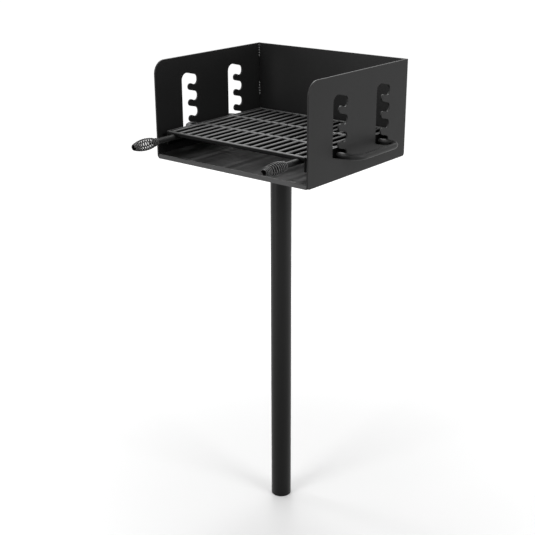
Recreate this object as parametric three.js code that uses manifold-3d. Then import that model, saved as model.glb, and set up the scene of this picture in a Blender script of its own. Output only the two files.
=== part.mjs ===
// Park barbecue grill on a pipe pedestal: an open steel firebox that turns on a post, with a slotted
// grate that hangs in four toothed slots and is lifted by two rods with coiled wire grips.
// Millimetres. X to the cook's right, Y to the back, Z up. The origin is the middle of the post
// where it leaves the ground.
import * as THREE from "three";
import { mergeVertices } from "three/addons/utils/BufferGeometryUtils.js";
import Module from "manifold-3d";

const wasm = await Module();
wasm.setup();

// Gaps and cuts
const gap = 0.3; // between two pieces that a cut or a turned face brings together
const cut_overrun = 2; // how far a cutting body runs past what it cuts

// Post: standard pipe, its cut end in the ground at z = 0
const firebox_base = 1085; // ground to the bottom edge of the firebox
const post_od = 60.3;
const post_wall_thickness = 3.9;
const post_lid_thickness = 4.8; // disc welded over the pipe, which the firebox turns on
const post_sides = 40;

// Swivel: a sleeve over the pipe under a square plate bolted to the firebox floor
const swivel_plate_width = 110;
const swivel_plate_thickness = 4.8;
const collar_clearance = 0.6; // sleeve bore to pipe, at the radius
const collar_wall_thickness = 4;
const collar_length = 58;
const set_screw_dia = 7.9;
const set_screw_drop = 34; // plate underside to the screw's axis
const set_screw_head_flats = 12.7;
const set_screw_head_height = 5.5;
const set_screw_stand_off = 6; // sleeve to the underside of the screw's head
const bolt_dia = 9.5;
const bolt_offset = 34; // bolt axis to the post axis, along X and along Y
const bolt_head_flats = 14.3;
const bolt_head_height = 6.1;
const bolt_tail_length = 4; // shank below the nut
const nut_height = 8.2;
const thread_sides = 12;

// Firebox: 3/16 in plate, open at the front and the top
const sheet_thickness = 4.8;
const firebox_width = 522; // over the side plates
const firebox_depth = 444;
const firebox_height = 267;
const lip_height = 12.7; // the floor's folded front edge, from its top face down
const lip_bend_radius = 3;
const side_top_front_radius = 37;
const side_bottom_radius = 8;
const corner_steps = 5; // curve steps for each quarter or so of a plate outline

// Toothed slots, two in each side plate, cut on a slope that falls to the back
const slot_front_gap = 102.5; // firebox front to the front edge of the front slot
const slot_spacing = 194; // front slot to back slot
const slot_channel_width = 25; // front edge to the tooth tips
const slot_depth = 62.5; // front edge to the back wall of the notches
const slot_slope_deg = 14; // the slot's top and foot and the notches' ceilings
const tooth_tip_radius = 9.6;
const tooth_crest_height = 4.7; // top of a tooth over the bottom of the cup behind it
const cup_radius = 11.5;
const notch_corner_radius = 12;
const notch_pitch = 45;
const notch_count = 4;
const lowest_cup_height = 48.5; // firebox bottom to the bottom of the lowest cup
const slot_head_rise = 2; // how far the slot's top stands above the ceiling that a tooth would give
const slot_head_radius = 19;
const slot_foot_radius = 6;

// Grate: round bars in two flat side rails
const bar_dia = 12.7;
const bar_count = 17; // front to back bars, the outer ones along the rails
const cross_bar_spacing = 131.5; // between the four bars that run across
const rail_thickness = 4.8;
const rail_height = 38.1;
const rail_to_plate_gap = 16.2; // outer face of a rail to the side plate beside it
const bar_sides = 16;

// Side rods: each a U of round bar that leaves a rail through both slots of its side plate
const side_rod_dia = 16;
const side_rod_stand_off = 44; // outer face of the side plate to the axis of the rod's long run
const side_rod_bend_radius = 32; // of the axis
const side_rod_rest_gap = 0.3; // rod to the bottom of its cup
const grate_top_above_rod = 19.5; // side rod axis to the top of the bars
const side_rod_steps = 36;

// Handle rods and their grips
const handle_dia = 15.9;
const handle_drop = 8; // bar axis down to the rod axis
const handle_reach_left = 97.2; // front bar's axis to the left rod's front end, inside its grip
const handle_reach_right = 78.8;
const handle_tail_length = 12; // rod past the front one of the two inner cross bars
const grip_grasp_length = 24; // rod inside its grip
const grip_length = 85;
const grip_wire_dia = 4;
const grip_middle_dia = 33.6;
const grip_front_dia = 18;
const grip_turns = 9.5;
const grip_turn_steps = 8;
const grip_wire_sides = 5;
const grip_wrap_share = 0.07; // part of the grip's length that hugs the rod
const grip_swell_share = 0.78; // power of the barrel's sine: less is fuller
const grip_spread_share = 0.12; // how much wider the middle turns lie apart than the average

// Places that follow from the sizes
const slope = THREE.MathUtils.degToRad(slot_slope_deg);
const half_width = firebox_width / 2;
const half_depth = firebox_depth / 2;
const side_inner = half_width - sheet_thickness;
const back_inner = half_depth - sheet_thickness;
const floor_top = firebox_base + lip_height;
const floor_bottom = floor_top - sheet_thickness;
const plate_bottom = floor_bottom - swivel_plate_thickness;
const post_cap_top = plate_bottom - gap;
const post_top = post_cap_top - post_lid_thickness;
const collar_inner = post_od / 2 + collar_clearance;
const collar_outer = collar_inner + collar_wall_thickness;
const slot_front = -half_depth + slot_front_gap;
const tip_x = slot_channel_width + tooth_tip_radius;
const tip_z = tooth_crest_height - tooth_tip_radius; // tooth tip's centre over the cup behind it
const cup_x = slot_depth - cup_radius;
const tip_to_cup = Math.hypot(cup_x - tip_x, cup_radius - tip_z);
const tip_to_cup_angle = Math.atan2(cup_radius - tip_z, cup_x - tip_x);
const tooth_slope = Math.PI / 2 - tip_to_cup_angle - Math.acos((tooth_tip_radius + cup_radius) / tip_to_cup);
const rod_y_front = slot_front + cup_x;
const rod_y_back = rod_y_front + slot_spacing;
const rod_z = firebox_base + lowest_cup_height + side_rod_dia / 2 + side_rod_rest_gap;
const bar_radius = bar_dia / 2;
const bar_z = rod_z + grate_top_above_rod - bar_radius;
const grate_top = bar_z + bar_radius;
const rail_face = side_inner - rail_to_plate_gap;
const rail_inner = rail_face - rail_thickness;
const bar_pitch = (2 * (rail_inner - bar_radius - gap)) / (bar_count - 1);
const side_rod_reach = half_width + side_rod_stand_off;
const cross_y = [-1.5, -0.5, 0.5, 1.5].map((share) => share * cross_bar_spacing);
const rail_half = cross_y[3] + bar_radius;
const handle_z = bar_z - handle_drop;
const handle_back = cross_y[1] + handle_tail_length;
const handle_place = (bar_pitch * (bar_count - 2)) / 2; // midway between the two outer bars

// One coat of satin black on everything; the grate's bars are worn a little smoother
function paint(colour, roughness, metalness) {
  return () => new THREE.MeshStandardMaterial({ color: colour, roughness, metalness });
}
const body_paint = paint(0x161719, 0.42, 0.25);
const grate_paint = paint(0x1b1c1e, 0.38, 0.3);
const wire_paint = paint(0x141414, 0.45, 0.3);
const post_paint = paint(0x17181a, 0.4, 0.25);

const grill = new THREE.Group();

function addMesh(parent, name, geometry, material) {
  geometry.deleteAttribute("uv");
  const flat = geometry.index ? geometry.toNonIndexed() : geometry;
  flat.computeVertexNormals();
  const mesh = new THREE.Mesh(flat, material());
  mesh.name = name;
  parent.add(mesh);
  return mesh;
}

// Closed geometry to a solid that can be cut and joined, and back
function toSolid(geometry) {
  const bare = geometry.clone();
  bare.deleteAttribute("normal");
  bare.deleteAttribute("uv");
  const welded = mergeVertices(bare);
  return new wasm.Manifold(
    new wasm.Mesh({
      numProp: 3,
      vertProperties: new Float32Array(welded.attributes.position.array),
      triVerts: new Uint32Array(welded.index.array),
    }),
  );
}

function toGeometry(solid) {
  const mesh = solid.getMesh();
  const geometry = new THREE.BufferGeometry();
  const places = new Float32Array(mesh.numVert * 3);
  for (let i = 0; i < mesh.numVert; i += 1) {
    for (let k = 0; k < 3; k += 1) {
      places[i * 3 + k] = mesh.vertProperties[i * mesh.numProp + k];
    }
  }
  geometry.setAttribute("position", new THREE.BufferAttribute(places, 3));
  geometry.setIndex(new THREE.BufferAttribute(new Uint32Array(mesh.triVerts), 1));
  return geometry;
}

function box(x0, x1, y0, y1, z0, z1) {
  const geometry = new THREE.BoxGeometry(x1 - x0, y1 - y0, z1 - z0);
  geometry.translate((x0 + x1) / 2, (y0 + y1) / 2, (z0 + z1) / 2);
  return geometry;
}

// Round bars along X, Y and Z between two ends
function roundX(radius, x0, x1, y, z, sides) {
  const geometry = new THREE.CylinderGeometry(radius, radius, x1 - x0, sides);
  geometry.rotateY(Math.PI / sides);
  geometry.rotateZ(-Math.PI / 2);
  geometry.translate((x0 + x1) / 2, y, z);
  return geometry;
}

function roundY(radius, y0, y1, x, z, sides) {
  const geometry = new THREE.CylinderGeometry(radius, radius, y1 - y0, sides);
  geometry.rotateY(Math.PI / sides);
  geometry.translate(x, (y0 + y1) / 2, z);
  return geometry;
}

function roundZ(radius, z0, z1, x, y, sides) {
  const geometry = new THREE.CylinderGeometry(radius, radius, z1 - z0, sides);
  geometry.rotateX(Math.PI / 2);
  geometry.translate(x, y, (z0 + z1) / 2);
  return geometry;
}

// Ring about the Z axis
function ringZ(inner, outer, z0, z1, sides) {
  const profile = [
    new THREE.Vector2(inner, z0),
    new THREE.Vector2(outer, z0),
    new THREE.Vector2(outer, z1),
    new THREE.Vector2(inner, z1),
    new THREE.Vector2(inner, z0),
  ];
  const geometry = new THREE.LatheGeometry(profile, sides);
  geometry.rotateX(Math.PI / 2);
  return geometry;
}

// Plate outline drawn in Y and Z, drawn out along X
function plateX(shape, x0, x1) {
  const geometry = new THREE.ExtrudeGeometry(shape, {
    depth: x1 - x0,
    bevelEnabled: false,
    curveSegments: corner_steps,
  });
  const turn = new THREE.Matrix4().makeBasis(
    new THREE.Vector3(0, 1, 0),
    new THREE.Vector3(0, 0, 1),
    new THREE.Vector3(1, 0, 0),
  );
  geometry.applyMatrix4(turn);
  geometry.translate(x0, 0, 0);
  return geometry;
}

// Post and the disc on its top
const post = new THREE.Group();
const tube_ring = ringZ(post_od / 2 - post_wall_thickness, post_od / 2, 0, post_top, post_sides);
addMesh(post, "post_tube", tube_ring, post_paint);
addMesh(post, "post_cap", roundZ(post_od / 2, post_top, post_cap_top, 0, 0, post_sides), post_paint);
grill.add(post);

const firebox = new THREE.Group();

// Swivel sleeve with its locking screw at the back, under a plate with four bolts
const screw_z = plate_bottom - set_screw_drop;
const screw_hole = roundY(
  set_screw_dia / 2 + gap,
  post_od / 2 - cut_overrun,
  collar_outer + cut_overrun,
  0,
  screw_z,
  thread_sides,
);
const collar_bottom = plate_bottom - collar_length;
const collar = toSolid(ringZ(collar_inner, collar_outer, collar_bottom, plate_bottom, post_sides));
addMesh(firebox, "swivel_collar", toGeometry(collar.subtract(toSolid(screw_hole))), body_paint);

const screw_head_y = collar_outer + set_screw_stand_off;
const screw_shank = roundY(
  set_screw_dia / 2,
  post_od / 2 + gap,
  screw_head_y + set_screw_head_height / 2,
  0,
  screw_z,
  thread_sides,
);
const screw_head_radius = set_screw_head_flats / Math.sqrt(3);
const screw_end = screw_head_y + set_screw_head_height;
const screw_head = roundY(screw_head_radius, screw_head_y, screw_end, 0, screw_z, 6);
const set_screw = toSolid(screw_shank).add(toSolid(screw_head));
addMesh(firebox, "swivel_set_screw", toGeometry(set_screw), body_paint);

const bolt_signs = [
  ["front_left", -1, -1],
  ["front_right", 1, -1],
  ["back_left", -1, 1],
  ["back_right", 1, 1],
];
const half_plate = swivel_plate_width / 2;
let swivel_plate = toSolid(box(-half_plate, half_plate, -half_plate, half_plate, plate_bottom, floor_bottom));
const nut_bottom = plate_bottom - nut_height;
const bolt_bottom = nut_bottom - bolt_tail_length;
const bolt_holes = bolt_signs.map(([, sx, sy]) =>
  toSolid(
    roundZ(
      bolt_dia / 2 + gap,
      plate_bottom - cut_overrun,
      floor_top + cut_overrun,
      sx * bolt_offset,
      sy * bolt_offset,
      thread_sides,
    ),
  ),
);
bolt_holes.forEach((hole) => {
  swivel_plate = swivel_plate.subtract(hole);
});
addMesh(firebox, "swivel_plate", toGeometry(swivel_plate), body_paint);

// Floor with its front edge folded down level with the side plates' front edges
const floor_profile = new THREE.Shape();
floor_profile.moveTo(back_inner, floor_bottom);
floor_profile.lineTo(back_inner, floor_top);
floor_profile.lineTo(-half_depth + lip_bend_radius, floor_top);
floor_profile.absarc(
  -half_depth + lip_bend_radius,
  floor_top - lip_bend_radius,
  lip_bend_radius,
  Math.PI / 2,
  Math.PI,
  false,
);
floor_profile.lineTo(-half_depth, firebox_base);
floor_profile.lineTo(-half_depth + sheet_thickness, firebox_base);
floor_profile.lineTo(-half_depth + sheet_thickness, floor_bottom);
floor_profile.closePath();
let floor_solid = toSolid(plateX(floor_profile, -side_inner, side_inner));
bolt_holes.forEach((hole) => {
  floor_solid = floor_solid.subtract(hole);
});
addMesh(firebox, "floor_panel", toGeometry(floor_solid), body_paint);

bolt_signs.forEach(([corner, sx, sy]) => {
  const x = sx * bolt_offset;
  const y = sy * bolt_offset;
  const head_radius = bolt_head_flats / Math.sqrt(3);
  const head = roundZ(head_radius, floor_top, floor_top + bolt_head_height, x, y, 6);
  const shank = roundZ(bolt_dia / 2, bolt_bottom, floor_top + bolt_head_height / 2, x, y, thread_sides);
  addMesh(firebox, `floor_bolt_${corner}`, toGeometry(toSolid(head).add(toSolid(shank))), body_paint);
  const nut = toSolid(roundZ(head_radius, nut_bottom, plate_bottom, x, y, 6));
  const bore = roundZ(
    bolt_dia / 2 + gap,
    nut_bottom - cut_overrun,
    plate_bottom + cut_overrun,
    x,
    y,
    thread_sides,
  );
  addMesh(firebox, `floor_nut_${corner}`, toGeometry(nut.subtract(toSolid(bore))), body_paint);
});

addMesh(
  firebox,
  "back_panel",
  box(-side_inner, side_inner, back_inner, half_depth, firebox_base, firebox_base + firebox_height),
  body_paint,
);

// One toothed slot: up the plain front edge, over the sloping top, then down notch by notch.
// Every notch is a cup, then a flat that rises to the round tip of its tooth.
function toothedSlot(y0) {
  const path = new THREE.Path();
  const across = Math.sin(slope);
  const up = Math.cos(slope);
  const cup = (k) => firebox_base + lowest_cup_height + k * notch_pitch;
  const back = y0 + slot_depth;
  // height of the sloping ceiling over cup k at a distance u from the front edge
  const ceiling = (k, u) => {
    const touch_u = tip_x - tooth_tip_radius * across;
    const touch_z = cup(k + 1) + tip_z - tooth_tip_radius * up;
    return touch_z - (u - touch_u) * Math.tan(slope);
  };
  const top = notch_count - 1;
  const head = (u) => ceiling(top, u) + slot_head_rise;
  const head_u = slot_head_radius;
  const head_z = head(head_u + slot_head_radius * across) - slot_head_radius * up;
  const foot_flat_u = cup_x - cup_radius * across;
  const foot_flat_z = cup(0) + cup_radius - cup_radius * up;
  const foot_u = slot_foot_radius;
  const foot_touch_u = foot_u - slot_foot_radius * across;
  const foot_z = foot_flat_z + (foot_flat_u - foot_touch_u) * Math.tan(slope) + slot_foot_radius * up;
  path.moveTo(y0, foot_z);
  path.lineTo(y0, head_z);
  path.absarc(y0 + head_u, head_z, slot_head_radius, Math.PI, Math.PI / 2 - slope, true);
  for (let k = top; k >= 0; k -= 1) {
    const corner_u = slot_depth - notch_corner_radius;
    const rise = k > 0 ? tooth_slope : slope;
    const roof = (u) => (k === top ? head(u) : ceiling(k, u));
    const corner_z = roof(corner_u + notch_corner_radius * across) - notch_corner_radius * up;
    path.absarc(y0 + corner_u, corner_z, notch_corner_radius, Math.PI / 2 - slope, 0, true);
    path.lineTo(back, cup(k) + cup_radius);
    path.absarc(back - cup_radius, cup(k) + cup_radius, cup_radius, 0, -Math.PI / 2 - rise, true);
    if (k > 0) {
      path.absarc(
        y0 + tip_x,
        cup(k) + tip_z,
        tooth_tip_radius,
        Math.PI / 2 - rise,
        Math.PI * 1.5 - slope,
        false,
      );
    }
  }
  path.absarc(y0 + foot_u, foot_z, slot_foot_radius, Math.PI * 1.5 - slope, Math.PI, true);
  path.closePath();
  return path;
}

// Side plates: sharp top back corner, small lower corners, a large round at the top front
function sidePanel(name, x0, x1) {
  const low = firebox_base;
  const high = firebox_base + firebox_height;
  const small = side_bottom_radius;
  const large = side_top_front_radius;
  const outline = new THREE.Shape();
  outline.moveTo(-half_depth, low + small);
  outline.absarc(-half_depth + small, low + small, small, Math.PI, Math.PI * 1.5, false);
  outline.lineTo(half_depth - small, low);
  outline.absarc(half_depth - small, low + small, small, Math.PI * 1.5, 2 * Math.PI, false);
  outline.lineTo(half_depth, high);
  outline.lineTo(-half_depth + large, high);
  outline.absarc(-half_depth + large, high - large, large, Math.PI / 2, Math.PI, false);
  outline.closePath();
  outline.holes.push(toothedSlot(slot_front), toothedSlot(slot_front + slot_spacing));
  addMesh(firebox, name, plateX(outline, x0, x1), body_paint);
}
sidePanel("left_side_panel", -half_width, -side_inner);
sidePanel("right_side_panel", side_inner, half_width);
grill.add(firebox);

// Grate
const grate = new THREE.Group();
[
  ["left", -1],
  ["right", 1],
].forEach(([side, sign]) => {
  const low_x = Math.min(sign * rail_inner, sign * rail_face);
  const high_x = Math.max(sign * rail_inner, sign * rail_face);
  const rail = box(low_x, high_x, -rail_half, rail_half, grate_top - rail_height, grate_top);
  addMesh(grate, `grate_rail_${side}`, rail, grate_paint);
});

addMesh(
  grate,
  "grate_front_bar",
  roundX(bar_radius, -rail_inner, rail_inner, cross_y[0], bar_z, bar_sides),
  grate_paint,
);
addMesh(
  grate,
  "grate_back_bar",
  roundX(bar_radius, -rail_inner, rail_inner, cross_y[3], bar_z, bar_sides),
  grate_paint,
);

// The long bars butt against the front and back bars and are halved over the two inner cross bars
const bar_x = Array.from({ length: bar_count }, (_, i) => (i - (bar_count - 1) / 2) * bar_pitch);
const coping_radius = bar_radius + gap;
const copings = [cross_y[0], cross_y[3]].map((y) =>
  toSolid(roundX(coping_radius, -rail_inner - cut_overrun, rail_inner + cut_overrun, y, bar_z, bar_sides)),
);
bar_x.forEach((x, i) => {
  let bar = toSolid(roundY(bar_radius, cross_y[0], cross_y[3], x, bar_z, bar_sides));
  copings.forEach((coping) => {
    bar = bar.subtract(coping);
  });
  [cross_y[1], cross_y[2]].forEach((y) => {
    const lap = box(
      x - bar_dia,
      x + bar_dia,
      y - coping_radius,
      y + coping_radius,
      bar_z - bar_dia,
      bar_z + gap / 2,
    );
    bar = bar.subtract(toSolid(lap));
  });
  addMesh(grate, `grate_bar_${String(i + 1).padStart(2, "0")}`, toGeometry(bar), grate_paint);
});
[
  ["grate_cross_bar_front", cross_y[1]],
  ["grate_cross_bar_back", cross_y[2]],
].forEach(([name, y]) => {
  let bar = toSolid(roundX(bar_radius, -rail_inner, rail_inner, y, bar_z, bar_sides));
  bar_x.forEach((x, i) => {
    const lap = box(
      x - coping_radius - (i === 0 ? cut_overrun : 0),
      x + coping_radius + (i === bar_count - 1 ? cut_overrun : 0),
      y - bar_dia,
      y + bar_dia,
      bar_z - gap / 2,
      bar_z + bar_dia,
    );
    bar = bar.subtract(toSolid(lap));
  });
  addMesh(grate, name, toGeometry(bar), grate_paint);
});

// Side rod: out of the rail through the front slot, along the side plate, back in at the back slot
class SideRodLine extends THREE.Curve {
  constructor(sign) {
    super();
    this.sign = sign;
    this.leg = side_rod_reach - side_rod_bend_radius - rail_face;
    this.arc = (side_rod_bend_radius * Math.PI) / 2;
    this.run = slot_spacing - 2 * side_rod_bend_radius;
    this.whole = 2 * this.leg + 2 * this.arc + this.run;
  }

  getPoint(t, target = new THREE.Vector3()) {
    const half = this.whole / 2;
    const s = t * this.whole;
    const near = Math.min(s, this.whole - s);
    const mirror = s > half;
    let out = rail_face + near;
    let along = 0;
    if (near > this.leg) {
      const turned = Math.min(near - this.leg, this.arc) / side_rod_bend_radius;
      out = rail_face + this.leg + side_rod_bend_radius * Math.sin(turned);
      along = side_rod_bend_radius * (1 - Math.cos(turned));
      along += Math.max(near - this.leg - this.arc, 0);
    }
    const y = mirror ? rod_y_back - along : rod_y_front + along;
    return target.set(this.sign * out, y, rod_z);
  }
}

function roundShape(radius, sides) {
  const shape = new THREE.Shape();
  for (let i = 0; i < sides; i += 1) {
    const angle = ((i + 0.5) * 2 * Math.PI) / sides;
    const x = radius * Math.cos(angle);
    const y = radius * Math.sin(angle);
    if (i === 0) {
      shape.moveTo(x, y);
    } else {
      shape.lineTo(x, y);
    }
  }
  shape.closePath();
  return shape;
}

// Grip: one wire wound as a hollow barrel, tight on the rod's end at the back, drawn in at the front
const rod_hug = handle_dia / 2 + gap + grip_wire_dia / 2;
const grip_middle = (grip_middle_dia - grip_wire_dia) / 2;
const grip_nose = (grip_front_dia - grip_wire_dia) / 2;

function gripPoint(t, x, back, sign) {
  const span = grip_length - grip_wire_dia;
  const along = t - (grip_spread_share * Math.sin(2 * Math.PI * t)) / (2 * Math.PI);
  const swell = Math.max(along - grip_wrap_share, 0) / (1 - grip_wrap_share);
  const ends = rod_hug + (grip_nose - rod_hug) * swell;
  const bulge = grip_middle - (rod_hug + grip_nose) / 2;
  const radius = ends + bulge * Math.sin(Math.PI * swell) ** grip_swell_share;
  const angle = sign * 2 * Math.PI * grip_turns * t + Math.PI / 2;
  return new THREE.Vector3(
    x + radius * Math.cos(angle),
    back - grip_wire_dia / 2 - along * span,
    handle_z + radius * Math.sin(angle),
  );
}

function coilGrip(x, back, sign) {
  const rings = grip_turns * grip_turn_steps;
  const places = [];
  const index = [];
  const centres = [];
  for (let i = 0; i <= rings; i += 1) {
    const t = i / rings;
    const step = 1 / (rings * grip_turn_steps);
    const here = gripPoint(t, x, back, sign);
    const ahead = gripPoint(Math.min(t + step, 1), x, back, sign);
    const behind = gripPoint(Math.max(t - step, 0), x, back, sign);
    const tangent = ahead.sub(behind).normalize();
    const outward = new THREE.Vector3(here.x - x, 0, here.z - handle_z);
    outward.addScaledVector(tangent, -outward.dot(tangent)).normalize();
    const side = new THREE.Vector3().crossVectors(tangent, outward);
    centres.push(here);
    for (let j = 0; j < grip_wire_sides; j += 1) {
      const angle = (j * 2 * Math.PI) / grip_wire_sides;
      const point = here.clone();
      point.addScaledVector(outward, (grip_wire_dia / 2) * Math.cos(angle));
      point.addScaledVector(side, (grip_wire_dia / 2) * Math.sin(angle));
      places.push(point.x, point.y, point.z);
    }
  }
  for (let i = 0; i < rings; i += 1) {
    for (let j = 0; j < grip_wire_sides; j += 1) {
      const a = i * grip_wire_sides + j;
      const b = i * grip_wire_sides + ((j + 1) % grip_wire_sides);
      index.push(a, b, a + grip_wire_sides, b, b + grip_wire_sides, a + grip_wire_sides);
    }
  }
  const last = rings * grip_wire_sides;
  for (let j = 1; j < grip_wire_sides - 1; j += 1) {
    index.push(0, j + 1, j);
    index.push(last, last + j, last + j + 1);
  }
  const geometry = new THREE.BufferGeometry();
  geometry.setAttribute("position", new THREE.Float32BufferAttribute(places, 3));
  geometry.setIndex(index);
  let least = Infinity;
  for (let i = 0; i < centres.length; i += 1) {
    for (let j = i + grip_turn_steps / 2; j < centres.length; j += 1) {
      least = Math.min(least, centres[i].distanceTo(centres[j]) - grip_wire_dia);
    }
  }
  return [geometry, least];
}

[
  ["left", -1, handle_reach_left],
  ["right", 1, handle_reach_right],
].forEach(([side, sign, reach]) => {
  const line = new SideRodLine(sign);
  const rod = new THREE.ExtrudeGeometry(roundShape(side_rod_dia / 2, bar_sides), {
    steps: side_rod_steps,
    bevelEnabled: false,
    extrudePath: line,
  });
  addMesh(grate, `side_rod_${side}`, rod, grate_paint);

  const x = sign * handle_place;
  const handle_front = cross_y[0] - reach;
  let handle = toSolid(roundY(handle_dia / 2, handle_front, handle_back, x, handle_z, bar_sides));
  [cross_y[0], cross_y[1]].forEach((y) => {
    const cope = roundX(coping_radius, x - handle_dia, x + handle_dia, y, bar_z, bar_sides);
    handle = handle.subtract(toSolid(cope));
  });
  addMesh(grate, `handle_rod_${side}`, toGeometry(handle), grate_paint);

  const [coil, least] = coilGrip(x, handle_front + grip_grasp_length, sign);
  addMesh(grate, `coil_grip_${side}`, coil, wire_paint);
  console.log(`coil_grip_${side}: least gap between turns ${least.toFixed(2)} mm`);
});
grill.add(grate);

export default grill;
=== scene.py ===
"""A park barbecue grill in black powder-coated steel: firebox on a post, bar grate and coiled grips.

Sizes are in millimetres, and places come from the frame's solids at rest. Lamps and camera are in metres.
"""

import math

import bmesh
import bpy
from mathutils import Matrix, Vector


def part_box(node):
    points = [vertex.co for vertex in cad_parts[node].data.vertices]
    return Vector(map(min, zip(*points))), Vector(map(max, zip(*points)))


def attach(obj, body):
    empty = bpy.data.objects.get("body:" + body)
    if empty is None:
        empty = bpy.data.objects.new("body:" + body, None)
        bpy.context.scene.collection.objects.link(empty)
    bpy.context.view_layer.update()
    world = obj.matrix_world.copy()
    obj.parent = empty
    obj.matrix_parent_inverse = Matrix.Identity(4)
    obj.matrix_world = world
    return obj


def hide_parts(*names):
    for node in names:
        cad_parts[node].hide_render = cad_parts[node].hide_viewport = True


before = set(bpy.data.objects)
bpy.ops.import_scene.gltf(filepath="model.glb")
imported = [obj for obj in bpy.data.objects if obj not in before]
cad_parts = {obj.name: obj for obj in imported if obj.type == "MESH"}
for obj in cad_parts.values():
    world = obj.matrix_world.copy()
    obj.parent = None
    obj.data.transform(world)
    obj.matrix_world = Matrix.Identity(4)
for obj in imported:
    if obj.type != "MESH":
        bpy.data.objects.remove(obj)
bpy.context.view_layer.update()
MM = 0.001
QUARTER = math.pi / 2

# Camera: where the photograph was taken from, in the grill's own frame
CAMERA_PLACE = (1.6872, -2.1197, 1.7765)
CAMERA_YAW = 39.351
CAMERA_PITCH = 20.642
CAMERA_ROLL = -0.327
CAMERA_LENS = 67.243
CAMERA_SENSOR = 36.0
CAMERA_REACH = 200

# Firebox plates, and the edges that are broken on them
SIDE_TOP_FRONT_RADIUS = 37
SIDE_BOTTOM_RADIUS = 8
ARC_STEP = 8
PLATE_ARRIS = 0.7
FLOOR_ARRIS = 0.6
FASTENER_ARRIS = 0.6
SCREW_ARRIS = 0.4
ARRIS_FACES = 2
ARRIS_ANGLE = 40
SAME_POINT = 0.01

# Toothed slots: the channel runs up the front, and the notches lie behind it
SLOT_FRONT_GAP = 102.5
SLOT_SPACING = 194
SLOT_CHANNEL = 25
SLOT_DEPTH = 62.5
SLOT_SLOPE = math.radians(14)
TIP_RADIUS = 9.6
TOOTH_CREST = 4.7
CUP_RADIUS = 11.5
NOTCH_CORNER = 12
NOTCH_PITCH = 45
NOTCH_COUNT = 4
LOWEST_CUP = 48.5
HEAD_RISE = 2
HEAD_RADIUS = 19
FOOT_RADIUS = 6

# Stitch welds in the rear corners, as heights over the plates' lower edge
WELD_LOW_FROM = 111
WELD_LOW_TO = 151
WELD_HIGH_FROM = 225
WELD_HIGH_TO = 263
WELD_RADIUS = 3.4
WELD_RIPPLE = 1.3
WELD_PITCH = 7.6
WELD_STEPS = 8
WELD_SIDES = 16

# Post and swivel sleeve
POST_WALL = 3.9
SLEEVE_WALL = 4
TURNED_EDGE = 0.8
TURNED_SIDES = 96
AXIS_GAP = 0.01

# Round bars of the grate, and the rods that hold and carry it
BAR_COUNT = 17
BAR_DIA = 12.7
BAR_EDGE = 0.6
BAR_SIDES = 32
ROD_SIDES = 40
SIDE_ROD_DIA = 16
SIDE_ROD_BEND = 32
SIDE_ROD_EDGE = 0.1
SIDE_ROD_FLAT = 0.15
BEND_STEP = 9
HANDLE_DIA = 15.9
HANDLE_EDGE = 1.0

# Coiled grips: the wire is close-wound at both ends and opens in between
GRIP_WIRE = 3.3
GRIP_MIDDLE_DIA = 33
GRIP_FRONT_DIA = 15.5
GRIP_LENGTH = 85
GRIP_GRASP = 11
GRIP_GAP = 0.3
GRIP_WRAP_SHARE = 0.07
GRIP_SWELL_SHARE = 0.78
GRIP_PACKED_PITCH = 3.8
GRIP_OPEN_PITCH = 7.75
GRIP_PACKED_BACK = 3
GRIP_PACKED_FRONT = 19
GRIP_OPENING = 8
GRIP_STEPS = 28
GRIP_SIDES = 12
GRIP_EDGE = 0.3

# Smooth shading: an edge sharper than this angle stays crisp, and a plate's broad faces stay flat
CRISP_ANGLE = 25
PLATE_CRISP_ANGLE = 40
FLAT_COSINE = 0.999

# Powder coat: orange peel, slow drift in the sheen, and raked lines on level faces
FILM_IOR = 1.5
PEEL_BUMP = 0.35
PEEL_DETAIL = 2.0
DRIFT_WIDTH = 110
DRIFT_DETAIL = 3.0
DRIFT_LOW = 0.3
DRIFT_HIGH = 0.7
DRIFT_SPREAD = 0.03
STREAK_WIDTH = 26
STREAK_DETAIL = 1.0
STREAK_STRETCH = (1, 0.03, 0.03)
STREAK_LOW = 0.35
STREAK_HIGH = 0.65
LEVEL_COSINE = 0.98

# Painted light and shade: gloss of the black painted shade and of the grey painted highlight, where the
# highlight begins and where it is full
GRAIN_DETAIL = 3.0
PAINTED_SHADE_GLOSS = 0.05
PAINTED_LIGHT_GLOSS = 0.3
TOP_LIGHT_FROM = 0.5
TOP_LIGHT_TO = 0.85
OUTER_LIGHT_FROM = 0.76
OUTER_LIGHT_TO = 1.0

# White studio, in metres: the paper's glow melts it into the white room and leaves the shadow at the foot
PAPER_REACH = 60
PAPER_DROP = 0.0005
PAPER_LIT = "#808080"
PAPER_SEEN = "#c4c4c4"
GLOW_NEAR = 0.12
GLOW_FAR = 0.8
GLOW_FROM = 0.2
GLOW_TO = 2.6
ROOM_LIGHT = 0.4
ROOM_WHITE = 1.0


def linear(code):
    """An sRGB hex colour as the linear RGBA that shaders take."""
    parts = [int(code[i : i + 2], 16) / 255 for i in (1, 3, 5)]
    return [p / 12.92 if p <= 0.04045 else ((p + 0.055) / 1.055) ** 2.4 for p in parts] + [1.0]


def node(tree, kind, inputs=None, **settings):
    """Adds a node. Settings are its own fields, inputs its sockets, as values or another node's output."""
    made = tree.nodes.new(kind)
    for key, value in settings.items():
        setattr(made, key, value)
    for key, value in (inputs or {}).items():
        if isinstance(value, bpy.types.NodeSocket):
            tree.links.new(value, made.inputs[key])
        else:
            made.inputs[key].default_value = value
    return made


def new_material(name):
    """An empty material and its node tree."""
    material = bpy.data.materials.new(name)
    material.use_nodes = True
    material.node_tree.nodes.clear()
    return material, material.node_tree


def noise(tree, place, width, detail):
    """Noise whose patches are about as wide as a real size in millimetres."""
    return node(
        tree,
        "ShaderNodeTexNoise",
        {"Vector": place, "Scale": 1 / (width * MM), "Detail": detail},
    ).outputs["Fac"]


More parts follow.
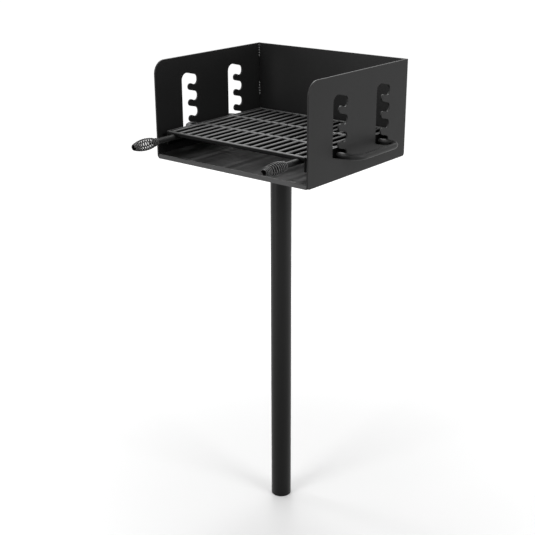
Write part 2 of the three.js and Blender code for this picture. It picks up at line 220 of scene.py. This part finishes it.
def raked_gloss(tree, place, gloss, streak):
    """Gloss that varies by streak across front-to-back lines, on faces that look straight up."""
    lines = node(tree, "ShaderNodeVectorMath", {0: place, 1: STREAK_STRETCH}, operation="MULTIPLY")
    rake = noise(tree, lines.outputs["Vector"], STREAK_WIDTH, STREAK_DETAIL)
    span = {"From Min": STREAK_LOW, "From Max": STREAK_HIGH, "To Min": -streak, "To Max": streak}
    change = node(tree, "ShaderNodeMapRange", {"Value": rake, **span}).outputs["Result"]
    facing = node(tree, "ShaderNodeNewGeometry").outputs["Normal"]
    height = node(tree, "ShaderNodeSeparateXYZ", {"Vector": facing}).outputs["Z"]
    level = node(tree, "ShaderNodeMath", {0: height, 1: LEVEL_COSINE}, operation="GREATER_THAN").outputs[0]
    return node(tree, "ShaderNodeMath", {0: change, 1: level, 2: gloss}, operation="MULTIPLY_ADD").outputs[0]


def powder_coat(name, colours, roughness, gloss, peel, peel_depth, streak=0):
    """Black powder coat baked on steel: a satin skin with fine orange peel, whose sheen drifts slowly.

    Gloss is the specular level, which the coat's matting powder keeps below that of a clear film. Peel is
    the width of the orange peel and peel_depth its height, drawn as coarse as it needs to show.
    """
    material, tree = new_material(name)
    place = node(tree, "ShaderNodeTexCoord").outputs["Object"]
    orange_peel = noise(tree, place, peel, PEEL_DETAIL)
    drift = noise(tree, place, DRIFT_WIDTH, DRIFT_DETAIL)
    span = {"From Min": DRIFT_LOW, "From Max": DRIFT_HIGH}
    sheen_range = {"To Min": roughness - DRIFT_SPREAD, "To Max": roughness + DRIFT_SPREAD}
    sheen = node(tree, "ShaderNodeMapRange", {"Value": drift, **span, **sheen_range})
    tints = {"Factor": orange_peel, "A": linear(colours[0]), "B": linear(colours[1])}
    tint = node(tree, "ShaderNodeMix", tints, data_type="RGBA")
    relief = {"Height": orange_peel, "Strength": PEEL_BUMP, "Distance": peel_depth * MM}
    skin = node(
        tree,
        "ShaderNodeBsdfPrincipled",
        {
            "Base Color": tint.outputs["Result"],
            "Roughness": sheen.outputs["Result"],
            "Normal": node(tree, "ShaderNodeBump", relief).outputs["Normal"],
            "Specular IOR Level": raked_gloss(tree, place, gloss, streak) if streak else gloss,
            "IOR": FILM_IOR,
        },
    )
    node(tree, "ShaderNodeOutputMaterial", {"Surface": skin.outputs["BSDF"]})
    return material


def lit_and_shaded_coat(name, painted_light_mask, painted_light_greys, hollow, roughness, grain):
    """A coated steel skin with painted light and shade: a matt grey painted highlight where the mask is 1,
    and a dead black painted shade where it is 0.
    """
    material, tree = new_material(name)
    place = node(tree, "ShaderNodeTexCoord").outputs["Object"]
    share = painted_light_mask(tree)
    grains = noise(tree, place, grain, GRAIN_DETAIL)
    greys = {"Factor": grains, "A": linear(painted_light_greys[0]), "B": linear(painted_light_greys[1])}
    grey = node(tree, "ShaderNodeMix", greys, data_type="RGBA").outputs["Result"]
    # Painted light and shade: grey where the mask says lit, dead black where it says shaded
    tint = node(tree, "ShaderNodeMix", {"Factor": share, "A": linear(hollow), "B": grey}, data_type="RGBA")
    shine = node(tree, "ShaderNodeMapRange", {"Value": share, "To Min": PAINTED_SHADE_GLOSS, "To Max": PAINTED_LIGHT_GLOSS})
    skin = node(
        tree,
        "ShaderNodeBsdfPrincipled",
        {
            "Base Color": tint.outputs["Result"],
            "Roughness": roughness,
            "Specular IOR Level": shine.outputs["Result"],
        },
    )
    node(tree, "ShaderNodeOutputMaterial", {"Surface": skin.outputs["BSDF"]})
    return material


def painted_top_light(tree):
    """1 on the top of a bar, painted as a highlight where light from above falls, 0 where the bar turns down
    and under into painted shade.
    """
    facing = node(tree, "ShaderNodeNewGeometry").outputs["Normal"]
    height = node(tree, "ShaderNodeSeparateXYZ", {"Vector": facing}).outputs["Z"]
    return node(
        tree,
        "ShaderNodeMapRange",
        {"Value": height, "From Min": TOP_LIGHT_FROM, "From Max": TOP_LIGHT_TO},
        interpolation_type="SMOOTHSTEP",
    ).outputs["Result"]


def painted_outer_highlight(tree):
    """1 along the outer line of a grip's wire, painted as a highlight, 0 on its flanks and inside, painted
    as shade.
    """
    outward = node(tree, "ShaderNodeAttribute", attribute_name="outward").outputs["Fac"]
    return node(
        tree,
        "ShaderNodeMapRange",
        {"Value": outward, "From Min": OUTER_LIGHT_FROM, "From Max": OUTER_LIGHT_TO},
        interpolation_type="SMOOTHSTEP",
    ).outputs["Result"]


# Powder coat on cut sheet: an even charcoal black, satin, with a soft white line along each broken edge
PLATE_COAT = powder_coat(
    "powder_coat_plate", ("#181818", "#1d1d1d"), roughness=0.42, gloss=0.14, peel=2.4, peel_depth=0.05
)

# Powder coat on drawn pipe: the same paint over a smoother skin, which draws two long pale reflections
POST_COAT = powder_coat(
    "powder_coat_pipe", ("#0f0f0f", "#141414"), roughness=0.36, gloss=0.16, peel=2.4, peel_depth=0.05
)

# Powder coat on the folded floor: glossier, and raked from front to back in soft lines
FLOOR_COAT = powder_coat(
    "powder_coat_floor",
    ("#131313", "#181818"),
    roughness=0.37,
    gloss=0.43,
    peel=2.4,
    peel_depth=0.04,
    streak=0.18,
)

# Powder coat on bent rod: a lighter, duller black with finer peel
ROD_COAT = powder_coat(
    "powder_coat_rod", ("#1b1b1b", "#212121"), roughness=0.48, gloss=0.2, peel=2.0, peel_depth=0.04
)

# Powder coat over a weld bead: thin on the ripples, which catch the light as a row of dots
WELD_COAT = powder_coat(
    "powder_coat_weld", ("#323232", "#3a3a3a"), roughness=0.26, gloss=0.45, peel=2.4, peel_depth=0.05
)

# Coated round bar with painted light: its top painted a matt grey highlight, as if lit from above, and
# painted black shade below
GRATE_COAT = lit_and_shaded_coat("bar_painted_top_light", painted_top_light, ("#444444", "#4e4e4e"), "#040404", roughness=0.5, grain=6)

# Coated spring wire with painted light: its outer line painted grey as a highlight, so that each turn shows
# as a thin pale arc, and black painted shade inside
WIRE_COAT = lit_and_shaded_coat("wire_painted_outer_light", painted_outer_highlight, ("#5b5b5b", "#636363"), "#020202", roughness=0.36, grain=3)


def corners(name):
    """A solid's lowest and highest corner in millimetres."""
    return [[c / MM for c in corner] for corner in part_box(name)]


def middle(name):
    """The middle of a solid's box in millimetres."""
    low, high = corners(name)
    return [(a + b) / 2 for a, b in zip(low, high)]


def show(name, mesh):
    """An object of its own for a mesh."""
    piece = bpy.data.objects.new(name, mesh)
    bpy.context.scene.collection.objects.link(piece)
    return piece


def place_piece(piece, body, slot, material, *replaced):
    """Painted, and carried by its body in place of the plain solids that it stands for."""
    piece.data.materials.clear()
    piece.data.materials.append(material)
    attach(piece, body)
    if replaced:
        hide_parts(*replaced)


def smooth(piece, crisp=CRISP_ANGLE):
    """Smooth where it curves, crisp at its edges, and flat on the broad faces of a plate."""
    piece.data.set_sharp_from_angle(angle=math.radians(crisp))
    curved = [abs(face.normal.x) < FLAT_COSINE for face in piece.data.polygons]
    piece.data.polygons.foreach_set("use_smooth", curved)
    return piece


def new_piece(name, points, faces):
    """A mesh object from points in millimetres."""
    mesh = bpy.data.meshes.new(name)
    mesh.from_pydata([Vector(p) * MM for p in points], [], faces)
    mesh.validate()
    return show(name, mesh)


def sweep_rings(points, radii, sides):
    """Points and faces of a round section carried along a line without twist, closed by end faces."""
    last = len(points) - 1
    ways = [(points[min(i + 1, last)] - points[max(i - 1, 0)]).normalized() for i in range(last + 1)]
    side = ways[0].orthogonal().normalized()
    places, faces = [], []
    for i, (here, way, radius) in enumerate(zip(points, ways, radii)):
        side = (side - way * side.dot(way)).normalized()
        up = way.cross(side)
        for j in range(sides):
            turn = 2 * math.pi * j / sides
            places.append(here + (side * math.cos(turn) + up * math.sin(turn)) * radius)
        if i:
            for j in range(sides):
                a, b = (i - 1) * sides + j, (i - 1) * sides + (j + 1) % sides
                faces.append((a, b, b + sides, a + sides))
    faces.append(tuple(reversed(range(sides))))
    faces.append(tuple(range(last * sides, (last + 1) * sides)))
    return places, faces


def round_bar(name, line, radius, sides, edge):
    """A bar of round stock along a line of points, with its cut ends broken by a small chamfer."""
    points = [Vector(p) for p in line]
    first = (points[1] - points[0]).normalized()
    last = (points[-1] - points[-2]).normalized()
    points = [points[0], points[0] + first * edge, *points[1:-1], points[-1] - last * edge, points[-1]]
    radii = [radius - edge] + [radius] * (len(points) - 2) + [radius - edge]
    return new_piece(name, *sweep_rings(points, radii, sides))


def turned(name, profile):
    """A closed profile of (radius, height) turned about the post's axis."""
    places, faces = [], []
    count = len(profile)
    for i in range(TURNED_SIDES):
        turn = 2 * math.pi * i / TURNED_SIDES
        following = (i + 1) % TURNED_SIDES
        for radius, height in profile:
            places.append((radius * math.cos(turn), radius * math.sin(turn), height))
        for j in range(count):
            a, b = i * count + j, i * count + (j + 1) % count
            c, d = following * count + (j + 1) % count, following * count + j
            faces.append((a, d, c, b))
    return new_piece(name, places, faces)


def arc(cx, cy, radius, start, end, step=ARC_STEP):
    """Points of an arc from angle start to angle end in radians, at most step degrees apart."""
    steps = max(2, math.ceil(abs(math.degrees(end - start)) / step))
    turns = [start + (end - start) * i / steps for i in range(steps + 1)]
    return [(cx + radius * math.cos(t), cy + radius * math.sin(t)) for t in turns]


def toothed_slot(y0, base):
    """Outline of one slot: plain front edge, sloping head, then a cup and a round tooth for each notch."""
    across, up = math.sin(SLOT_SLOPE), math.cos(SLOT_SLOPE)
    tip_u = SLOT_CHANNEL + TIP_RADIUS
    tip_z = TOOTH_CREST - TIP_RADIUS
    cup_u = SLOT_DEPTH - CUP_RADIUS
    corner_u = SLOT_DEPTH - NOTCH_CORNER
    to_cup = Vector((cup_u - tip_u, CUP_RADIUS - tip_z))
    tangent = math.acos((TIP_RADIUS + CUP_RADIUS) / to_cup.length)
    tooth_slope = QUARTER - math.atan2(to_cup.y, to_cup.x) - tangent

    def cup(k):
        return base + LOWEST_CUP + k * NOTCH_PITCH

    def roof(k, u):
        touch_u = tip_u - TIP_RADIUS * across
        height = cup(k + 1) + tip_z - TIP_RADIUS * up - (u - touch_u) * math.tan(SLOT_SLOPE)
        return height + (HEAD_RISE if k == NOTCH_COUNT - 1 else 0)

    top = NOTCH_COUNT - 1
    head_z = roof(top, HEAD_RADIUS * (1 + across)) - HEAD_RADIUS * up
    foot_rise = (cup_u - CUP_RADIUS * across - FOOT_RADIUS * (1 - across)) * math.tan(SLOT_SLOPE)
    foot_z = cup(0) + CUP_RADIUS * (1 - up) + foot_rise + FOOT_RADIUS * up
    outline = arc(y0 + HEAD_RADIUS, head_z, HEAD_RADIUS, math.pi, QUARTER - SLOT_SLOPE)
    for k in range(top, -1, -1):
        rise = tooth_slope if k else SLOT_SLOPE
        corner_z = roof(k, corner_u + NOTCH_CORNER * across) - NOTCH_CORNER * up
        outline += arc(y0 + corner_u, corner_z, NOTCH_CORNER, QUARTER - SLOT_SLOPE, 0)
        outline += arc(y0 + cup_u, cup(k) + CUP_RADIUS, CUP_RADIUS, 0, -QUARTER - rise)
        if k:
            outline += arc(y0 + tip_u, cup(k) + tip_z, TIP_RADIUS, QUARTER - rise, 3 * QUARTER - SLOT_SLOPE)
    outline += arc(y0 + FOOT_RADIUS, foot_z, FOOT_RADIUS, 3 * QUARTER - SLOT_SLOPE, math.pi)
    return outline


def cut_plate(name, outlines, x0, x1):
    """Plate between x0 and x1, from closed outlines in Y and Z, with its arrises broken all round."""
    curve = bpy.data.curves.new(name, "CURVE")
    curve.dimensions = "2D"
    curve.fill_mode = "BOTH"
    curve.extrude = ((x1 - x0) / 2 - PLATE_ARRIS) * MM
    curve.bevel_depth = PLATE_ARRIS * MM
    curve.bevel_resolution = 1
    curve.offset = -PLATE_ARRIS * MM
    for outline in outlines:
        spline = curve.splines.new("POLY")
        spline.points.add(len(outline) - 1)
        for point, (y, z) in zip(spline.points, outline):
            point.co = (y * MM, z * MM, 0, 1)
        spline.use_cyclic_u = True
    drawn = bpy.data.objects.new(name + "_outline", curve)
    bpy.context.scene.collection.objects.link(drawn)
    bpy.context.view_layer.update()
    mesh = bpy.data.meshes.new_from_object(drawn.evaluated_get(bpy.context.evaluated_depsgraph_get()))
    bpy.data.objects.remove(drawn)
    bpy.data.curves.remove(curve)
    mesh.transform(Matrix(((0, 0, 1, (x0 + x1) / 2 * MM), (1, 0, 0, 0), (0, 1, 0, 0), (0, 0, 0, 1))))
    mesh.name = name
    joined = bmesh.new()
    joined.from_mesh(mesh)
    bmesh.ops.remove_doubles(joined, verts=joined.verts, dist=SAME_POINT * MM)
    joined.to_mesh(mesh)
    joined.free()
    return show(name, mesh)


def side_plate(hand):
    """Side plate: large round at the top front, small rounds below, and two toothed slots."""
    low, high = corners(hand + "_side_panel")
    front, back, base, top = low[1], high[1], low[2], high[2]
    small, large = SIDE_BOTTOM_RADIUS, SIDE_TOP_FRONT_RADIUS
    rim = arc(front + small, base + small, small, 2 * QUARTER, 3 * QUARTER)
    rim += arc(back - small, base + small, small, 3 * QUARTER, 4 * QUARTER)
    rim += [(back, top)]
    rim += arc(front + large, top - large, large, QUARTER, 2 * QUARTER)
    slots = [toothed_slot(front + SLOT_FRONT_GAP + shift, base) for shift in (0, SLOT_SPACING)]
    plate = cut_plate("side_plate_" + hand, [rim, *slots], low[0], high[0])
    smooth(plate, PLATE_CRISP_ANGLE)
    place_piece(plate, "firebox", "firebox_paint", PLATE_COAT, hand + "_side_panel")


def edged(name, body, slot, width, material):
    """The piece that a plain solid already has the shape of, with its arrises broken to a width."""
    piece = show("edged_" + name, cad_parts[name].data.copy())
    shared = piece.modifiers.new("shared_edges", "WELD")
    shared.merge_threshold = SAME_POINT * MM
    bevel = piece.modifiers.new("broken_arris", "BEVEL")
    bevel.width = width * MM
    bevel.segments = ARRIS_FACES
    bevel.limit_method = "ANGLE"
    bevel.angle_limit = math.radians(ARRIS_ANGLE)
    place_piece(piece, body, slot, material, name)


def weld_bead(name, corner, base, start, stop):
    """Short bead up a corner, with the ripples of its run."""
    count = round((stop - start) / WELD_PITCH) * WELD_STEPS
    points = [Vector((*corner, base + start + (stop - start) * k / count)) for k in range(count + 1)]
    troughs = [abs(math.cos(math.pi * k / WELD_STEPS)) for k in range(count + 1)]
    radii = [WELD_RADIUS - WELD_RIPPLE * trough for trough in troughs]
    bead = new_piece(name, *sweep_rings(points, radii, WELD_SIDES))
    place_piece(smooth(bead), "firebox", "firebox_paint", WELD_COAT)


def pipe(name, solid, wall):
    """Pipe with a sawn lower end that is broken inside and out."""
    low, high = corners(solid)
    outer = high[0]
    inner = outer - wall
    edge = TURNED_EDGE
    profile = [(inner + edge, low[2]), (outer - edge, low[2]), (outer, low[2] + edge), (outer, high[2])]
    profile += [(inner, high[2]), (inner, low[2] + edge)]
    return turned(name, profile)


def disc(name, solid, outer):
    """Round plate with both rims broken, which closes the top of the post."""
    low, high = corners(solid)
    edge = TURNED_EDGE
    profile = [(AXIS_GAP, low[2]), (outer - edge, low[2]), (outer, low[2] + edge), (outer, high[2] - edge)]
    profile += [(outer - edge, high[2]), (AXIS_GAP, high[2])]
    return turned(name, profile)


def grate_bar(name, start, end):
    """Round bar of the grate, which runs right through where it is welded."""
    bar = round_bar("round_" + name, [start, end], BAR_DIA / 2, BAR_SIDES, BAR_EDGE)
    place_piece(smooth(bar), "grate", "grate_paint", GRATE_COAT, name)


def side_hoop(hand, sign):
    """Side rod: one U-shaped bend of round bar, welded to the rail at both ends.

    Its solid is faceted, with flats that lie a little inside the round bar's surface.
    """
    name = "side_rod_" + hand
    low, high = corners(name)
    radius = SIDE_ROD_DIA / 2
    inset = radius - SIDE_ROD_FLAT
    bend = SIDE_ROD_BEND
    rail = min(abs(low[0]), abs(high[0]))
    reach = max(abs(low[0]), abs(high[0])) - inset
    front, back = low[1] + inset, high[1] - inset
    line = [(rail, front)]
    line += arc(reach - bend, front + bend, bend, -QUARTER, 0, BEND_STEP)
    line += arc(reach - bend, back - bend, bend, 0, QUARTER, BEND_STEP)
    line += [(rail, back)]
    points = [(sign * x, y, middle(name)[2]) for x, y in line]
    hoop = round_bar("side_hoop_" + hand, points, radius, ROD_SIDES, SIDE_ROD_EDGE)
    place_piece(smooth(hoop), "grate", "grate_paint", ROD_COAT, name)


def handle(hand):
    """Handle rod under the grate, whose front end sits in the back of its grip."""
    name = "handle_rod_" + hand
    x, _, z = middle(name)
    front = corners("coil_grip_" + hand)[1][1] - GRIP_GRASP
    back = corners(name)[1][1]
    rod = round_bar("handle_" + hand, [(x, front, z), (x, back, z)], HANDLE_DIA / 2, ROD_SIDES, HANDLE_EDGE)
    place_piece(smooth(rod), "grate", "grate_paint", ROD_COAT, name)


def coil_grip(hand, sign):
    """Coiled grip: one wire wound as a hollow barrel, tight on the rod's end and drawn in at the front."""
    x, _, z = middle("handle_rod_" + hand)
    coil_back = corners("coil_grip_" + hand)[1][1]
    hug = HANDLE_DIA / 2 + GRIP_GAP + GRIP_WIRE / 2
    belly = (GRIP_MIDDLE_DIA - GRIP_WIRE) / 2
    nose = (GRIP_FRONT_DIA - GRIP_WIRE) / 2
    span = GRIP_LENGTH - GRIP_WIRE
    points = []
    along = 0
    while along < span:
        swell = max(along / span - GRIP_WRAP_SHARE, 0) / (1 - GRIP_WRAP_SHARE)
        bulge = max(math.sin(math.pi * swell), 0) ** GRIP_SWELL_SHARE
        ring = hug + (nose - hug) * swell + (belly - (hug + nose) / 2) * bulge
        turn = QUARTER + sign * 2 * math.pi * len(points) / GRIP_STEPS
        y = coil_back - GRIP_WIRE / 2 - along
        points.append((x + ring * math.cos(turn), y, z + ring * math.sin(turn)))
        room = min(along - GRIP_PACKED_BACK, span - GRIP_PACKED_FRONT - along) / GRIP_OPENING + 0.5
        pitch = GRIP_PACKED_PITCH + (GRIP_OPEN_PITCH - GRIP_PACKED_PITCH) * min(max(room, 0), 1)
        along += pitch / GRIP_STEPS
    coil = round_bar("wire_grip_" + hand, points, GRIP_WIRE / 2, GRIP_SIDES, GRIP_EDGE)
    mark_outward(coil, x, z)
    place_piece(smooth(coil), "grate", "grip_wire", WIRE_COAT, "coil_grip_" + hand)


def mark_outward(coil, x, z):
    """Marks each point of the wire, from 0 on its inner line through 0.5 to 1 on its outer line."""
    reach = [math.hypot(v.co.x / MM - x, v.co.z / MM - z) for v in coil.data.vertices]
    rings = [sum(reach[i : i + GRIP_SIDES]) / GRIP_SIDES for i in range(0, len(reach), GRIP_SIDES)]
    outward = [0.5 + (r - rings[i // GRIP_SIDES]) / GRIP_WIRE for i, r in enumerate(reach)]
    coil.data.attributes.new("outward", "FLOAT", "POINT").data.foreach_set("value", outward)


# Side plates, then the plates, rails, nuts and bolts that keep the shape of their solids
for hand in ("left", "right"):
    side_plate(hand)
edged("floor_panel", "firebox", "firebox_paint", FLOOR_ARRIS, FLOOR_COAT)
edged("back_panel", "firebox", "firebox_paint", PLATE_ARRIS, PLATE_COAT)
edged("swivel_plate", "firebox", "firebox_paint", PLATE_ARRIS, PLATE_COAT)
edged("swivel_set_screw", "firebox", "firebox_paint", SCREW_ARRIS, PLATE_COAT)
edged("grate_rail_left", "grate", "grate_paint", PLATE_ARRIS, GRATE_COAT)
edged("grate_rail_right", "grate", "grate_paint", PLATE_ARRIS, GRATE_COAT)
for place in ("front_left", "front_right", "back_left", "back_right"):
    edged("floor_bolt_" + place, "firebox", "firebox_paint", FASTENER_ARRIS, PLATE_COAT)
    edged("floor_nut_" + place, "firebox", "firebox_paint", FASTENER_ARRIS, PLATE_COAT)

# Stitch welds up the two rear corners
plate_low, plate_high = corners("back_panel")
weld_inset = WELD_RADIUS / 3
weld_y = plate_low[1] - weld_inset
for hand, weld_x in (("left", plate_low[0] + weld_inset), ("right", plate_high[0] - weld_inset)):
    weld_bead("weld_low_" + hand, (weld_x, weld_y), plate_low[2], WELD_LOW_FROM, WELD_LOW_TO)
    weld_bead("weld_high_" + hand, (weld_x, weld_y), plate_low[2], WELD_HIGH_FROM, WELD_HIGH_TO)

# Post: drawn pipe, the disc that closes its top, and the sleeve that turns on it
post_radius = corners("post_tube")[1][0]
place_piece(smooth(pipe("post_pipe", "post_tube", POST_WALL)), "post", "post_paint", POST_COAT, "post_tube")
place_piece(smooth(disc("post_disc", "post_cap", post_radius)), "post", "post_paint", POST_COAT, "post_cap")
sleeve = smooth(pipe("swivel_sleeve", "swivel_collar", SLEEVE_WALL))
place_piece(sleeve, "firebox", "firebox_paint", PLATE_COAT, "swivel_collar")

# Grate: bars across, then bars from front to back
rail_left = corners("grate_rail_left")[1][0]
rail_right = corners("grate_rail_right")[0][0]
bar_z = middle("grate_bar_09")[2]
for name in ("grate_front_bar", "grate_cross_bar_front", "grate_cross_bar_back", "grate_back_bar"):
    y = middle(name)[1]
    grate_bar(name, (rail_left, y, bar_z), (rail_right, y, bar_z))
grate_front = middle("grate_front_bar")[1]
grate_back = middle("grate_back_bar")[1]
for i in range(1, BAR_COUNT + 1):
    name = f"grate_bar_{i:02d}"
    x = middle(name)[0]
    grate_bar(name, (x, grate_front, bar_z), (x, grate_back, bar_z))

# Rods and grips
for hand, sign in (("left", -1), ("right", 1)):
    side_hoop(hand, sign)
    handle(hand)
    coil_grip(hand, sign)


def straight_or_mirrored(tree):
    """1 for what the camera sees, straight, in a gloss or through glass, and 0 for light on the grill."""
    path = node(tree, "ShaderNodeLightPath").outputs
    two = {0: path["Is Camera Ray"], 1: path["Is Glossy Ray"]}
    either = node(tree, "ShaderNodeMath", two, operation="MAXIMUM").outputs[0]
    three = {0: either, 1: path["Is Transmission Ray"]}
    return node(tree, "ShaderNodeMath", three, operation="MAXIMUM").outputs[0]


def white_paper():
    """Matt white paper that glows softly towards the camera, more with the distance from the post."""
    material, tree = new_material("studio_floor")
    seen = straight_or_mirrored(tree)
    place = node(tree, "ShaderNodeTexCoord").outputs["Object"]
    away = node(tree, "ShaderNodeVectorMath", {0: place}, operation="LENGTH").outputs["Value"]
    span = {"From Min": GLOW_FROM, "From Max": GLOW_TO, "To Min": GLOW_NEAR, "To Max": GLOW_FAR}
    fill = node(tree, "ShaderNodeMapRange", {"Value": away, **span}, interpolation_type="SMOOTHSTEP")
    glow = node(tree, "ShaderNodeMath", {0: seen, 1: fill.outputs["Result"]}, operation="MULTIPLY")
    papers = {"Factor": seen, "A": linear(PAPER_LIT), "B": linear(PAPER_SEEN)}
    paper = node(tree, "ShaderNodeMix", papers, data_type="RGBA")
    matt = node(tree, "ShaderNodeBsdfDiffuse", {"Color": paper.outputs["Result"]})
    light = node(tree, "ShaderNodeEmission", {"Color": (1, 1, 1, 1), "Strength": glow.outputs[0]})
    both = node(tree, "ShaderNodeAddShader", {0: matt.outputs[0], 1: light.outputs[0]})
    node(tree, "ShaderNodeOutputMaterial", {"Surface": both.outputs[0]})
    return material


def white_room():
    """A room that is white to look at and lights the grill at a lower, plain level."""
    world = bpy.data.worlds.new("white_room")
    bpy.context.scene.world = world
    world.use_nodes = True
    tree = world.node_tree
    tree.nodes.clear()
    span = {"To Min": ROOM_LIGHT, "To Max": ROOM_WHITE}
    level = node(tree, "ShaderNodeMapRange", {"Value": straight_or_mirrored(tree), **span})
    room = node(tree, "ShaderNodeBackground", {"Color": (1, 1, 1, 1), "Strength": level.outputs["Result"]})
    node(tree, "ShaderNodeOutputWorld", {"Surface": room.outputs[0]})


def lamp(name, place, aim, width, height, power):
    """A soft box, which the camera doesn't see."""
    data = bpy.data.lights.new(name, "AREA")
    data.shape = "RECTANGLE"
    data.size = width
    data.size_y = height
    data.energy = power
    box = bpy.data.objects.new(name, data)
    box.visible_camera = False
    bpy.context.scene.collection.objects.link(box)
    box.location = place
    box.rotation_euler = (Vector(aim) - Vector(place)).to_track_quat("-Z", "Y").to_euler()


# Studio floor
paper_mesh = bpy.data.meshes.new("studio_floor")
paper_rim = [(-PAPER_REACH, -PAPER_REACH, 0), (PAPER_REACH, -PAPER_REACH, 0)]
paper_rim += [(PAPER_REACH, PAPER_REACH, 0), (-PAPER_REACH, PAPER_REACH, 0)]
paper_mesh.from_pydata(paper_rim, [], [(0, 1, 2, 3)])
paper_mesh.materials.append(white_paper())
floor = show("studio_floor", paper_mesh)
floor.location.z = -PAPER_DROP

# Studio light: one broad box overhead, small ones for crisp edges, and faint ones low down
white_room()
lamp("overhead_box", place=(-1.15, 1.35, 3.5), aim=(0, 0, 1.1), width=3.2, height=3.2, power=80)
lamp("key_box", place=(-0.85, 0.95, 3.3), aim=(0, 0, 1.1), width=0.45, height=0.45, power=24)
lamp("edge_box", place=(-1.9, -0.35, 3.3), aim=(0, 0, 1.1), width=0.4, height=0.4, power=13)
lamp("right_box", place=(2.0, 0, 2.3), aim=(0, 0, 0.6), width=0.9, height=0.9, power=26)
lamp("front_box", place=(-0.3, -2.0, 2.3), aim=(0, 0, 0.6), width=0.9, height=0.9, power=30)
lamp("right_strip", place=(2.0, 0.9, 0.8), aim=(0, 0, 0.8), width=1.6, height=1.6, power=7)
lamp("left_strip", place=(-0.95, -1.85, 0.9), aim=(0, 0, 0.9), width=1.2, height=1.6, power=8)

# Camera
yaw, pitch, roll = (math.radians(a) for a in (CAMERA_YAW, CAMERA_PITCH, CAMERA_ROLL))
back = Vector((math.sin(yaw) * math.cos(pitch), -math.cos(yaw) * math.cos(pitch), math.sin(pitch)))
right = Vector((0, 0, 1)).cross(back).normalized()
up = back.cross(right)
right, up = right * math.cos(roll) + up * math.sin(roll), up * math.cos(roll) - right * math.sin(roll)
lens = bpy.data.cameras.new("camera")
lens.lens = CAMERA_LENS
lens.sensor_width = CAMERA_SENSOR
lens.sensor_fit = "HORIZONTAL"
lens.clip_end = CAMERA_REACH
camera = bpy.data.objects.new("camera", lens)
bpy.context.scene.collection.objects.link(camera)
camera.matrix_world = Matrix.Translation(CAMERA_PLACE) @ Matrix((right, up, back)).transposed().to_4x4()
bpy.context.scene.camera = camera
bpy.context.scene.view_settings.view_transform = "Standard"
